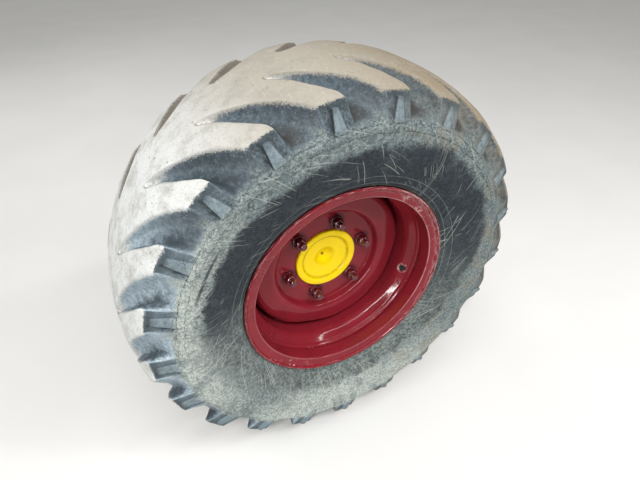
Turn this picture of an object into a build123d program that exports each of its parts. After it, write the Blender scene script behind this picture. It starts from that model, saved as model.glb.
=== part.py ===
from build123d import *
from math import cos, radians, sin, tan
import os

# Loader wheel on its axle end, in millimetres.
# Origin: centre of the axle end's mounting flange. +Z up, +Y inward along the axle
# (towards the middle of the machine), so the wheel's outer face looks along -Y.

# Wheel position
LIP_Y = -534.0            # plane of the rim's outer lip
RIM_WIDTH = 306.0         # outer lip to inner lip
HALF = RIM_WIDTH / 2
WHEEL_Y = LIP_Y + HALF

# Rim, 18 inch seats
LIP_R = 253.0
SEAT_R = 230.0            # tyre bead seat
STEEL = 5.0               # rim plate
WELL_R = 212.0            # drop centre, tyre side
WELL_IN = WELL_R - STEEL
CURL = 8.0                # depth of the rolled lip
FLANGE_BACK = 14.0        # depth of the flange face the bead presses on
BEAD_WIDTH = 28.0         # tyre's foot on the seat
HUMP = 3.0                # pressed ridge that keeps the bead on its seat
HUMP_START = FLANGE_BACK + BEAD_WIDTH + 1
SEAT_END = HUMP_START + 12       # depth where the seat turns down to the well
WELL_START = SEAT_END + 23
VALVE_ANGLE = -20.0
VALVE_T = 70.0            # depth of the valve hole
VALVE_R = 8.0             # hole in the rim
VALVE_GAP = 0.2

# Tyre
CROWN_R = 485.5
LUGS = 21                 # lugs on each side
LUG_PHASE = 111.4         # angle of one outer lug's leading corner, from +X towards +Z
BEAD_GAP = 1.0            # tyre clear of the rolled lip

# Disc and studs
STUDS = 6
PCD_R = 102.5
STUD_PHASE = 73.87
STUD_R = 9.0
STUD_HOLE_R = 10.0
STUD_HEAD_R = 13.0
STUD_OUT = 31.0           # stud tip ahead of the bolting face
NUT_FLATS = 27.0
NUT_H = 15.0
WASHER_R = 16.5
WASHER_T = 4.0
WASHER_GAP = 5.5          # metal between washer and centre bore
DISC_T = 10.0             # plate
DISC_FACE = 122.0         # bolting face, depth from the outer lip plane
DISC_BORE_R = PCD_R - WASHER_R - WASHER_GAP
FLATS = 4                 # vents between disc and rim
FLAT_PHASE = -16.0
FLAT_DIST = 184.0
SKIRT_GAP = 0.2           # allowance between skirt and rim
SKIRT_W = 26.0            # width of the skirt that seats in the rim
SKIRT_T = 6.0

# Hub
SPIGOT_GAP = 0.2
SPIGOT_R = DISC_BORE_R - SPIGOT_GAP
CUP_WALL = 14.3
CUP_R = SPIGOT_R - CUP_WALL      # bore that takes the cap
HUB_EDGE = 25.5
HUB_FLANGE_R = PCD_R + HUB_EDGE
HUB_FLANGE_T = 18.0
HEAD_GAP = 3.5            # stud heads clear of the barrel
HUB_BARREL_R = PCD_R - STUD_HEAD_R - HEAD_GAP
HUB_BACK = DISC_FACE + DISC_T    # face the disc is clamped against
HUB_END = 205.0
SPINDLE_R = 40.0
SPINDLE_TIP = 149.0
RUNNING = 0.05            # radial running clearance on the spindle
RUNNING_END = 7.0         # hub's end clear of the axle housing

# Cap
CAP_INSET = 0.3
CAP_R = SPIGOT_R - CAP_INSET
CAP_T = 3.3               # flange
CAP_OUT = 1.7             # hub spigot ahead of the bolting face, which the cap's flange sits on
CAP_BACK = DISC_FACE - CAP_OUT
CAP_FACE = CAP_BACK - CAP_T
CAP_WALL = 2.0

# Axle end
HOUSING_FACE = HUB_END + RUNNING_END
HOUSING_T = 52.0
HOUSING_BACK = HOUSING_FACE + HOUSING_T
HOUSING_R = 178.0
COVER_BOLTS = 12
COVER_EDGE = 20.0
COVER_PCD_R = HOUSING_R - COVER_EDGE
MOUNT = -LIP_Y            # depth of the mounting face
FLANGE_R = 112.0
FLANGE_T = 20.0
AXLE_PCD_R = 90.0
AXLE_BOLTS = 8
AXLE_HOLE_R = 8.75


def at(depth):
    """Y of a depth measured inward from the rim's outer lip plane."""
    return LIP_Y + depth


def turned(points):
    """Solid turned about the axle from (radius, depth) or (radius, depth, corner fillet) points."""
    face = make_face(Polyline(*[(p[0], at(p[1])) for p in points], close=True))
    for r, t, rounding in [p for p in points if len(p) == 3]:
        corner = face.vertices().sort_by_distance((r, at(t), 0))[0]
        face = fillet(corner, rounding)
    return revolve(face, Axis.Y)


def polar(radius, angle, depth):
    a = radians(angle)
    return (radius * cos(a), at(depth), radius * sin(a))


def rod(radius, angle, pcd, start, end):
    """Cylinder parallel to the axle, between two depths."""
    x, y, z = polar(pcd, angle, start)
    plane = Plane(origin=(x, y, z), z_dir=(0, 1, 0))
    return extrude(plane * Circle(radius), end - start)


def hexagon(flats, angle, pcd, start, end, turn=0.0):
    x, y, z = polar(pcd, angle, start)
    plane = Plane(origin=(x, y, z), z_dir=(0, 1, 0))
    shape = RegularPolygon(flats / 2, 6, major_radius=False, rotation=turn)
    return extrude(plane * shape, end - start)


# Tyre half section: distance from the middle plane, fall below the crown
CROWN = [(0, 0), (42, 1.5), (86, 7), (120, 14), (142, 21.5), (160, 32)]
SHOULDER = [(179, 83.5), (183.5, 91.5), (183.5, 99.5), (181, 104.5)]
BELLY = [(181, 140.5), (166, 185.5)]
LINING = [(120, 190), (160, 140), (160, 105), (147, 83), (124, 60), (90, 42), (0, 36)]


def tyre_section():
    """Both halves of the tyre's section, from the crown round the beads to the lining."""
    lines = []
    for side in (-1, 1):
        def p(s, r, side=side):
            return (r, WHEEL_Y + side * s)

        def below(table, p=p):
            return [p(s, CROWN_R - fall) for s, fall in table]

        foot = HALF - FLANGE_BACK
        tread = below(CROWN + SHOULDER)
        belly, waist = below(BELLY)
        rim_top = p(HALF - 1, LIP_R + 10)
        lines.append(Polyline(*tread))
        lines.append(ThreePointArc(tread[-1], belly, waist))
        lines.append(Polyline(
            waist, p(HALF + 6, SEAT_R + 57), rim_top, p(HALF - CURL - BEAD_GAP, LIP_R + BEAD_GAP),
            p(foot, LIP_R - 5), p(foot, SEAT_R), p(foot - BEAD_WIDTH, SEAT_R),
            p(foot - BEAD_WIDTH, SEAT_R + 12), *below(LINING)))
    return make_face(lines)


# One groove between two lugs. Each corner: angle from the lower lug's leading corner and
# distance from the middle plane at the tread, the same two on the floor, floor's fall below the crown.
GROOVE = [
    (11.4, 47, 11.0, 52, 9),
    (9.3, 43, 9.0, 47, 8),
    (-1.1, 98, -0.6, 107, 31.5),
    (-10.4, 162, -9.1, 169, 77),
    (-11.5, 205, -10.1, 207, 114),
    (0.8, 205, -0.2, 207, 114),
    (0.0, 160, -1.2, 157, 70),
]
TREAD_R = CROWN_R - 8     # radius where a groove's tread outline is measured
CUT_R = CROWN_R + 20      # clear of the crown
WALL_SPREAD = 12.0        # added to a wall's height so that shallow walls keep a draft


def groove_cutter(side):
    """Tapered polyhedron that clears one groove, its corner pointing along +Z."""
    top, low = [], []
    for a1, s1, a0, s0, fall in GROOVE:
        r0 = CROWN_R - fall
        grow = (CUT_R - TREAD_R) / (TREAD_R - r0 + WALL_SPREAD)
        a, s = a1 + (a1 - a0) * grow, s1 + (s1 - s0) * grow
        top.append(Vector(-CUT_R * tan(radians(a)), WHEEL_Y + side * s, CUT_R))
        t = radians(a0)
        low.append(Vector(-r0 * sin(t), WHEEL_Y + side * s0, r0 * cos(t)))
    faces = [Face(Wire.make_polygon(top))]
    for i, j, k in ((0, 1, 2), (0, 2, 6), (2, 3, 6), (3, 4, 6), (4, 5, 6)):
        faces.append(Face(Wire.make_polygon([low[i], low[j], low[k]])))
    for i in range(len(top)):
        j = (i + 1) % len(top)
        faces.append(Face(Wire.make_polygon([top[i], top[j], low[j]])))
        faces.append(Face(Wire.make_polygon([top[i], low[j], low[i]])))
    return Solid(Shell(faces))


def make_tyre():
    casing = revolve(tyre_section(), Axis.Y)
    pitch = 360 / LUGS
    cutters = []
    for side, phase in ((-1, LUG_PHASE), (1, LUG_PHASE + pitch / 2)):
        one = groove_cutter(side)
        for i in range(LUGS):
            # the cutter starts at +Z; this turn carries it to its angle from +X towards +Z
            cutters.append(Rot(0, 90 - phase - pitch * i, 0) * one)
    return casing - cutters


def make_rim():
    w = RIM_WIDTH
    seat_in = SEAT_R - STEEL
    outer = [
        (LIP_R - STEEL, 0, 2), (LIP_R, 0, 2), (LIP_R, CURL, 2), (LIP_R - 6, FLANGE_BACK), (SEAT_R, FLANGE_BACK),
        (SEAT_R, HUMP_START), (SEAT_R + HUMP, HUMP_START + 3), (SEAT_R + HUMP, HUMP_START + 7),
        (SEAT_R, SEAT_END), (WELL_R, WELL_START),
    ]
    inner = [
        (WELL_IN, WELL_START - 2, 10), (seat_in, SEAT_END - 1, 3), (seat_in + HUMP, HUMP_START + 6),
        (seat_in + HUMP, HUMP_START + 3), (seat_in, HUMP_START - 2), (seat_in, FLANGE_BACK - STEEL, 4),
        (LIP_R - 7, FLANGE_BACK - 8, 2.5),
    ]
    far_outer = [(r, w - t, *rest) for r, t, *rest in reversed(outer)]
    far_inner = [(r, w - t, *rest) for r, t, *rest in reversed(inner)]
    body = turned(outer + far_outer + far_inner + inner)
    x, y, z = polar(WELL_IN - 30, VALVE_ANGLE, VALVE_T)
    a = radians(VALVE_ANGLE)
    plane = Plane(origin=(x, y, z), z_dir=(cos(a), 0, sin(a)))
    return body - extrude(plane * Circle(VALVE_R), 60)


# Disc, front and back of the plate: radius, depth from the bolting face, corner fillet
DISC_FRONT = [(135.2, 0, 5), (139, -23.5, 9), (196.5, -23, 12)]
DISC_REAR = [(145, DISC_T, 3), (148.5, -14, 5), (188, -14, 6)]


def make_disc():
    """Pressed dish; its flats leave vents between skirt and rim."""
    skirt_r = WELL_IN - SKIRT_GAP
    skirt_start = DISC_FACE + 17
    skirt_end = skirt_start + SKIRT_W
    front = [(r, DISC_FACE + t, rounding) for r, t, rounding in DISC_FRONT]
    rear = [(r, DISC_FACE + t, rounding) for r, t, rounding in DISC_REAR]
    body = turned([
        (DISC_BORE_R, DISC_FACE), *front, (skirt_r, skirt_start), (skirt_r, skirt_end), (DISC_BORE_R, skirt_end)])
    hollow = turned([
        (DISC_BORE_R - 1, HUB_BACK), *rear, (skirt_r - SKIRT_T, skirt_start + 10),
        (skirt_r - SKIRT_T, skirt_end + 1), (DISC_BORE_R - 1, skirt_end + 1)])
    reach, chord = 60, 200
    for k in range(FLATS):
        turn = Rot(0, -FLAT_PHASE - k * 360 / FLATS, 0)
        flat = Box(reach, 3 * reach, chord)
        body -= turn * Pos(FLAT_DIST + reach / 2, at(DISC_FACE), 0) * flat
        hollow -= turn * Pos(FLAT_DIST - SKIRT_T + reach / 2, at(DISC_FACE), 0) * flat
    return body - hollow - stud_pattern(lambda a: rod(STUD_HOLE_R, a, PCD_R, DISC_FACE - 1, HUB_BACK + 1))


def stud_pattern(make):
    return [make(STUD_PHASE + 360 / STUDS * k) for k in range(STUDS)]


def make_hub():
    flange_end = HUB_BACK + HUB_FLANGE_T
    bore = SPINDLE_R + RUNNING
    body = turned([
        (CUP_R, CAP_BACK), (SPIGOT_R, CAP_BACK), (SPIGOT_R, HUB_BACK), (HUB_FLANGE_R, HUB_BACK),
        (HUB_FLANGE_R, flange_end), (HUB_BARREL_R, flange_end), (HUB_BARREL_R, HUB_END), (bore, HUB_END),
        (bore, SPINDLE_TIP + 3), (CUP_R, SPINDLE_TIP - 1),
    ])
    return body - stud_pattern(lambda a: rod(STUD_R, a, PCD_R, HUB_BACK - 1, flange_end + 1))


# Bowl of the cap, from the centre out: radius, depth from the ring's face, corner fillet
CAP_BOWL = [(10, 22.5, 8), (29, 8, 8)]
CAP_FLOOR = 7.0


def make_cap():
    """Dished cap: flange ring, recessed floor and a bowl in the middle."""
    deep = CAP_BOWL[0][1]
    front = [(r, CAP_FACE + t, rounding) for r, t, rounding in CAP_BOWL]
    back = [(r + 1, CAP_FACE + t + CAP_WALL, rounding) for r, t, rounding in reversed(CAP_BOWL)]
    return turned([
        (0, CAP_FACE + deep), *front, (CUP_R - 5, CAP_FACE + CAP_FLOOR, 1.5), (CUP_R - 1, CAP_FACE, 2),
        (CAP_R, CAP_FACE, 1.5), (CAP_R, CAP_BACK), (CUP_R, CAP_BACK), (CUP_R, CAP_BACK + 4), *back,
        (0, CAP_FACE + deep + CAP_WALL),
    ])


def make_studs():
    head, tip = 6, 2

    def stud(a):
        back = HUB_BACK + HUB_FLANGE_T
        start = DISC_FACE - STUD_OUT
        return (
            rod(STUD_R, a, PCD_R, start + tip, back) + rod(STUD_R - 2, a, PCD_R, start, start + tip)
            + rod(STUD_HEAD_R, a, PCD_R, back, back + head))
    return Compound(children=stud_pattern(stud))


def make_nuts():
    seat = DISC_FACE - WASHER_T

    def nut(a):
        body = rod(WASHER_R, a, PCD_R, seat, DISC_FACE) + hexagon(NUT_FLATS, a, PCD_R, seat - NUT_H, seat, turn=a)
        return body - rod(STUD_R, a, PCD_R, seat - NUT_H - 1, DISC_FACE + 1)
    return Compound(children=stud_pattern(nut))


def make_valve():
    """Flush rubber valve seat in the rim's hole, with its metal core end."""
    a = radians(VALVE_ANGLE)

    def level(r):
        return Plane(origin=(r * cos(a), at(VALVE_T), r * sin(a)), z_dir=(cos(a), 0, sin(a)))
    seat = extrude(level(WELL_R + 1) * Circle(VALVE_R - VALVE_GAP), SEAT_R - WELL_R - 1)
    core = extrude(level(WELL_IN + 1) * Circle(VALVE_R / 2), STEEL)
    return seat + core


# Neck of the axle end: radius, depth behind the drum, corner fillet
NECK = [(122, 10, 6), (105, 36, 20), (66, 166, 60), (62, 206)]


def make_housing():
    flange_face = MOUNT - FLANGE_T
    body = turned([
        (SPINDLE_R, HOUSING_FACE), (HOUSING_R - 28, HOUSING_FACE), (HOUSING_R, HOUSING_FACE + 8),
        (HOUSING_R, HOUSING_BACK, 3), (COVER_PCD_R - COVER_EDGE, HOUSING_BACK),
        *[(r, HOUSING_BACK + t, *rest) for r, t, *rest in NECK], (NECK[-1][0], flange_face, 8),
        (FLANGE_R, flange_face), (FLANGE_R, MOUNT), (SPINDLE_R, MOUNT),
    ])
    step = 360 / AXLE_BOLTS
    holes = [rod(AXLE_HOLE_R, step * (k + 0.5), AXLE_PCD_R, flange_face - 1, MOUNT + 1) for k in range(AXLE_BOLTS)]
    return body - holes


def make_spindle():
    return turned([
        (0, SPINDLE_TIP), (SPINDLE_R - 2, SPINDLE_TIP), (SPINDLE_R, SPINDLE_TIP + 2), (SPINDLE_R, MOUNT), (0, MOUNT)])


def make_bolts():
    step = 360 / COVER_BOLTS
    heads = [hexagon(17, step * k, COVER_PCD_R, HOUSING_BACK, HOUSING_BACK + 10) for k in range(COVER_BOLTS)]
    return Compound(children=heads)


PARTS = {
    "tyre": make_tyre,
    "rim": make_rim,
    "disc": make_disc,
    "hub": make_hub,
    "hub_cap": make_cap,
    "wheel_studs": make_studs,
    "wheel_nuts": make_nuts,
    "valve": make_valve,
    "axle_housing": make_housing,
    "spindle": make_spindle,
    "housing_bolts": make_bolts,
}

os.makedirs("parts", exist_ok=True)
for name, make in PARTS.items():
    export_step(make(), f"parts/{name}.step")
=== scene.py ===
from math import atan2, cos, degrees, hypot, pi, radians, sin

import bpy
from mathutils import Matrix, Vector, noise


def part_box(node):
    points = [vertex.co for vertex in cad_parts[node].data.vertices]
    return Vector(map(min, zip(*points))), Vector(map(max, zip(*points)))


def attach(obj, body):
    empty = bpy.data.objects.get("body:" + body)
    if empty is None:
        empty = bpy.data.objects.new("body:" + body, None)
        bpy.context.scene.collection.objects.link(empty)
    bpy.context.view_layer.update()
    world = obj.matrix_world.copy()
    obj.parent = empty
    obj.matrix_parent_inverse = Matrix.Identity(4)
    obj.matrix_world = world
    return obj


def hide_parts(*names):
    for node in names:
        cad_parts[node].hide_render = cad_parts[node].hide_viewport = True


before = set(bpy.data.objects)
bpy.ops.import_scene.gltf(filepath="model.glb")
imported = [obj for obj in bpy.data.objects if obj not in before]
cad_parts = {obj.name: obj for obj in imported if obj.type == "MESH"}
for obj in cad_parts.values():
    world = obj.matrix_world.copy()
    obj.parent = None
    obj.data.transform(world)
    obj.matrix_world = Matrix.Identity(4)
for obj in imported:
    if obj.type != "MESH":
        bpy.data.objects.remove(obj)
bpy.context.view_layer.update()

bl_info = {
    "name": "Loader Wheel",
    "version": (1, 0, 0),
    "blender": (4, 5, 0),
    "location": "View3D > Sidebar > Wheel",
    "description": "Worn lugged tyre, painted rim and disc, nuts, hub cap and axle end",
    "category": "Object",
}

# Places taken from the frame, in metres. Y runs inward along the axle.
MM = 0.001
LIP_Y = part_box("rim")[0].y
RIM_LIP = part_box("rim")[1].x
RIM_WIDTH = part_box("rim")[1].y - LIP_Y
WHEEL_Y = LIP_Y + RIM_WIDTH / 2
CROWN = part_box("tyre")[1].z
CAP_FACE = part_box("hub_cap")[0].y - LIP_Y
CAP_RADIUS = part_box("hub_cap")[1].x
STUD_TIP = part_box("wheel_studs")[0].y - LIP_Y
DISC_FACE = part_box("wheel_nuts")[1].y - LIP_Y

# Angles about the axle are in degrees from +X towards +Z
LUGS = 21
PITCH = 360 / LUGS
LUG_PHASE = 111.4         # leading corner of an outer lug
STUDS = 6
STUD_STEP = 360 / STUDS
STUD_PHASE = 73.87
STUD_CIRCLE = 102.5 * MM
VALVE_ANGLE = -20.0
VALVE_DEPTH = 70 * MM
VALVE_RADIUS = 212.5 * MM
VALVE_HOLE = 8 * MM
VALVE_CUTTER = (215 * MM, 50 * MM)    # radius of its middle, and its length


def metre_property(name, about, default):
    return bpy.props.FloatProperty(
        name=name, description=about, default=default, unit="LENGTH", precision=4)


def colour_property(name, about, code):
    return bpy.props.FloatVectorProperty(
        name=name, description=about, default=linear(code)[:3], subtype="COLOR", size=3, min=0, max=1)


def linear(code):
    """sRGB hex text to linear red, green, blue and alpha."""
    out = []
    for i in (1, 3, 5):
        c = int(code[i:i + 2], 16) / 255
        out.append(c / 12.92 if c <= 0.04045 else ((c + 0.055) / 1.055) ** 2.4)
    return (*out, 1.0)


class WheelSizes(bpy.types.PropertyGroup):
    nut_flats: metre_property("Nut across flats", "Size of the wheel nuts", 26 * MM)
    nut_height: metre_property("Nut height", "Height of a wheel nut", 15 * MM)
    washer_radius: metre_property("Washer radius", "Seat ring under each nut", 16.2 * MM)
    stud_radius: metre_property("Stud radius", "Radius of a wheel stud", 9 * MM)


class WheelColours(bpy.types.PropertyGroup):
    dust: colour_property("Tread dust", "Dry dust ground into the worn tread", "#ADA79A")
    maroon: colour_property("Rim paint", "Enamel on rim, disc, studs and nuts", "#87222D")
    yellow: colour_property("Yellow paint", "Enamel on cap and axle", "#FFDD00")
    floor: colour_property("Floor", "Plain pale studio floor", "#F1F0EE")


# Small tools for modelling

ROUNDING_SHARE = 0.45     # a corner's rounding takes at most this share of each side
SHARP = 0.05              # mm, below this a corner stays sharp
LATHE_MERGE = 0.01 * MM


def only(obj):
    """Selects one object alone and makes it the active one."""
    if bpy.context.object and bpy.context.object.mode != "OBJECT":
        bpy.ops.object.mode_set(mode="OBJECT")
    bpy.ops.object.select_all(action="DESELECT")
    if obj:
        obj.select_set(True)
        bpy.context.view_layer.objects.active = obj
    return obj


def edit_all(obj):
    """Opens an object's mesh in edit mode with all of it selected."""
    only(obj)
    bpy.ops.object.mode_set(mode="EDIT")
    bpy.ops.mesh.select_all(action="SELECT")


def named(name):
    obj = bpy.context.object
    obj.name = name
    obj.data.name = name
    return obj


def settle(obj):
    """Puts an object's place and turn into its mesh."""
    only(obj)
    bpy.ops.object.transform_apply(location=True, rotation=True, scale=True)
    return obj


def join(pieces, name):
    only(pieces[0])
    for piece in pieces:
        piece.select_set(True)
    bpy.ops.object.join()
    return named(name)


def twin_of(obj):
    """A copy with its own mesh."""
    only(obj)
    bpy.ops.object.duplicate(linked=False)
    return bpy.context.object


def copy_turned(obj, angle):
    """A copy turned about the axle."""
    twin = twin_of(obj)
    twin.rotation_euler = (0, -radians(angle), 0)
    return settle(twin)


def soften(obj, angle=35):
    only(obj)
    bpy.ops.object.shade_smooth_by_angle(angle=radians(angle))


def on_axle(radius, depth, angle=0.0):
    """Point at a radius, at a depth inward from the rim's outer lip."""
    a = radians(angle)
    return Vector((radius * cos(a), LIP_Y + depth, radius * sin(a)))


def rounded(outline, steps=4):
    """Outline of (radius, depth, rounding) corners in mm, each corner replaced by a short arc."""
    out = []
    corners = [Vector(corner[:2]) for corner in outline]
    for i, here in enumerate(corners):
        before = corners[i - 1] - here
        after = corners[(i + 1) % len(corners)] - here
        reach = min(outline[i][2], before.length * ROUNDING_SHARE, after.length * ROUNDING_SHARE)
        if reach < SHARP:
            out.append(here)
            continue
        a = here + before.normalized() * reach
        b = here + after.normalized() * reach
        for k in range(steps + 1):
            t = k / steps
            out.append(a * (1 - t) ** 2 + here * 2 * t * (1 - t) + b * t ** 2)
    return [(p.x * MM, p.y * MM) for p in out]


def lathe(name, outline, steps):
    """Closed outline of (radius, depth) points spun about the axle."""
    only(None)
    bpy.ops.mesh.primitive_plane_add(size=MM, location=on_axle(*outline[0]))
    obj = named(name)
    bpy.ops.object.mode_set(mode="EDIT")
    bpy.ops.mesh.merge(type="CENTER")
    solid = outline[0][0] == 0 and outline[-1][0] == 0
    for here, there in zip(outline, outline[1:] + ([] if solid else outline[:1])):
        step = on_axle(*there) - on_axle(*here)
        bpy.ops.mesh.extrude_region_move(TRANSFORM_OT_translate={"value": step})
    bpy.ops.mesh.select_all(action="SELECT")
    bpy.ops.mesh.spin(steps=steps, angle=2 * pi, center=(0, LIP_Y, 0), axis=(0, 1, 0))
    bpy.ops.mesh.select_all(action="SELECT")
    bpy.ops.mesh.remove_doubles(threshold=LATHE_MERGE)
    bpy.ops.mesh.normals_make_consistent(inside=False)
    bpy.ops.object.mode_set(mode="OBJECT")
    return settle(obj)


def cut(obj, cutter, operation="DIFFERENCE"):
    """Takes a cutter out of a piece, or keeps what they share, and deletes the cutter."""
    only(obj)
    modifier = obj.modifiers.new("cut", "BOOLEAN")
    modifier.operation = operation
    modifier.solver = "EXACT"
    modifier.object = cutter
    bpy.ops.object.modifier_apply(modifier=modifier.name)
    bpy.data.objects.remove(cutter)


def between(table, x):
    """Straight-line reading of a short table of (x, value) pairs."""
    if x <= table[0][0]:
        return table[0][1]
    for (x0, v0), (x1, v1) in zip(table, table[1:]):
        if x <= x1:
            return v0 + (v1 - v0) * (x - x0) / (x1 - x0)
    return table[-1][1]


# Materials

def feed(tree, node, inputs):
    """Sets a node's inputs; an input is a value or another node's output."""
    for key, value in inputs.items():
        if isinstance(value, bpy.types.NodeSocket):
            tree.links.new(value, node.inputs[key])
        else:
            node.inputs[key].default_value = value


def add(tree, kind, inputs=None, **settings):
    """Adds a node with its settings and links."""
    node = tree.nodes.new(kind)
    for key, value in settings.items():
        setattr(node, key, value)
    feed(tree, node, inputs or {})
    return node


def new_material(name):
    """A material with its shader, and the place on the piece in metres."""
    material = bpy.data.materials.new(name)
    material.use_nodes = True
    tree = material.node_tree
    tree.nodes.clear()
    shader = add(tree, "ShaderNodeBsdfPrincipled")
    add(tree, "ShaderNodeOutputMaterial", {"Surface": shader.outputs[0]})
    where = add(tree, "ShaderNodeTexCoord").outputs["Object"]
    return material, tree, shader, where


def layer(tree, cover, under, over):
    """Lays one colour over another where the cover is 1; each is hex text, linear or an output."""
    under, over = (linear(c) if isinstance(c, str) else c for c in (under, over))
    return add(tree, "ShaderNodeMix", {0: cover, 6: under, 7: over}, data_type="RGBA").outputs[2]


def ramp(tree, value, low, high, start=0.0, end=1.0):
    """Maps value from low..high to start..end, clamped and smooth."""
    node = add(
        tree, "ShaderNodeMapRange",
        {"Value": value, "From Min": low, "From Max": high, "To Min": start, "To Max": end},
        interpolation_type="SMOOTHSTEP")
    return node.outputs[0]


def reckon(tree, operation, first, *others):
    """Works a sum from left to right; an operation on one value takes no others."""
    if not others:
        return add(tree, "ShaderNodeMath", {0: first}, operation=operation).outputs[0]
    for other in others:
        first = add(tree, "ShaderNodeMath", {0: first, 1: other}, operation=operation).outputs[0]
    return first


def plus(tree, *values):
    return reckon(tree, "ADD", *values)


def less(tree, value, taken):
    return reckon(tree, "SUBTRACT", value, taken)


def times(tree, *values):
    return reckon(tree, "MULTIPLY", *values)


def most(tree, *values):
    return reckon(tree, "MAXIMUM", *values)


def sway(tree, noise_value, amount):
    """Noise made to swing about zero."""
    return times(tree, less(tree, noise_value, 0.5), amount)


def off(tree, value, centre):
    """How far a value is from a centre."""
    return reckon(tree, "ABSOLUTE", less(tree, value, centre))


def band(tree, value, centre, half):
    """1 at the centre of a narrow band, falling to 0 at its sides."""
    return ramp(tree, off(tree, value, centre), half, half * 0.3)


def specks(tree, where, size_mm, detail=4.0, rough=0.55):
    """Noise whose features are about size_mm across."""
    scale = 1.0 / (size_mm * MM)
    inputs = {"Vector": where, "Scale": scale, "Detail": detail, "Roughness": rough}
    return add(tree, "ShaderNodeTexNoise", inputs).outputs[0]


def speckled(tree, where, size_mm, dark, light, low=0.40, high=0.60):
    """Two colours broken up in grains about size_mm across."""
    return layer(tree, ramp(tree, specks(tree, where, size_mm, 5.0, 0.75), low, high), dark, light)


def around_axle(tree, where):
    """Distance from the axle in metres, and angle about it in radians."""
    x, _, z = add(tree, "ShaderNodeSeparateXYZ", {0: where}).outputs[:]
    radius = reckon(tree, "SQRT", plus(tree, times(tree, x, x), times(tree, z, z)))
    return radius, reckon(tree, "ARCTAN2", z, x)


SCRATCH_RADIUS = 0.33     # metres, where a scratch's angle is true
SCRATCH_FADE = 0.02       # how quickly a scratch ends along its length
SCRATCH_MM = 2.4          # coarse enough to show


def scratches(tree, where, slopes, amount):
    """Long fine marks across the wheel's face, each slope its own set; white on black."""
    radius, angle = around_axle(tree, where)
    sets = []
    for k, slope in enumerate(slopes):
        steep = hypot(1, slope)
        across = plus(
            tree, times(tree, angle, SCRATCH_RADIUS / steep), times(tree, radius, slope / steep))
        place = add(
            tree, "ShaderNodeCombineXYZ",
            {0: across, 1: 0.4 * k, 2: times(tree, radius, SCRATCH_FADE)}).outputs[0]
        fine = ramp(tree, specks(tree, place, SCRATCH_MM, 0.0), 0.71, 0.75)
        patch = ramp(tree, specks(tree, where, 70 + 15 * k, 1.0), amount, amount + 0.05)
        sets.append(times(tree, fine, patch))
    return most(tree, *sets)


def cracks(tree, where, size_mm, width):
    """Fine crack network between cells about size_mm across."""
    scale, wander = 1 / (size_mm * MM), size_mm * MM * 0.9
    wobble = add(tree, "ShaderNodeTexNoise", {"Vector": where, "Scale": scale, "Detail": 3.0})
    bent = add(
        tree, "ShaderNodeVectorMath", {0: wobble.outputs["Color"], 1: (wander, wander, wander)},
        operation="MULTIPLY").outputs[0]
    bent = add(tree, "ShaderNodeVectorMath", {0: where, 1: bent}, operation="ADD").outputs[0]
    cells = add(
        tree, "ShaderNodeTexVoronoi", {"Vector": bent, "Scale": scale}, feature="DISTANCE_TO_EDGE")
    return ramp(tree, cells.outputs["Distance"], width, 0.0)


# Lines on the tyre's side, in metres: (radius, half width)
SIDEWALL_RINGS = ((0.2575, 0.0010), (0.2660, 0.0011), (0.2830, 0.0010))
RIM_SEAM = (0.2548, 0.0016)
SHOULDER_RINGS = ((0.399, 0.0011), (0.383, 0.0011))
SIDE_CUT = (0.3675, 0.0046)
SIDE_CUT_ANGLE, SIDE_CUT_REACH, SIDE_CUT_FULL = 151, 13, 5
# Where something begins and where it is full: radius in metres
SHOULDER_DUST = (0.344, 0.364)
LUG_ENDS = (0.394, 0.410)
SHADE_UNDER_TREAD = (0.430, 0.448)
GROOVES = (0.396, 0.410)
GROOVES_SETTLED = (0.398, 0.436)
GROOVE_SOIL = (0.452, 0.436)
CRACKED = (0.432, 0.420)
SCRATCHED = (0.415, 0.390)
# The same across the wheel (x), up it (z) and through it (y)
LEFT = (-0.20, -0.42)
RIGHT = (-0.05, 0.26)
LOW = (0.12, -0.34)
BOTTOM = (-0.18, -0.38)
HAZE_LEFT, HAZE_LOW = (-0.08, -0.26), (0.10, -0.06)
BLUE_LEFT, BLUE_LOW = (0.10, -0.20), (-0.15, -0.35)
ICY_LEFT = (-0.29, -0.43)
BARE_RIGHT, BARE_HIGH = (-0.05, 0.25), (-0.10, 0.20)
WHITE_TO_DUST, DUST_TO_TAN = (-0.40, -0.12), (-0.14, 0.22)
CRACKS_HIGH = (-0.12, 0.10)
SOIL_RIGHT = (-0.30, -0.10)
OUTSIDE = (LIP_Y + 0.06, LIP_Y + 0.03)
FAR_SIDE = (WHEEL_Y - 0.01, WHEEL_Y + 0.05)
# Metres that the edge of the shoulder's dust goes: towards the rim low on the wheel, away from it
# at the upper right, and both ways in the haze
DUST_LOWER, DUST_HIGHER, DUST_SPREAD = 0.05, 0.012, 0.022


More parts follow.
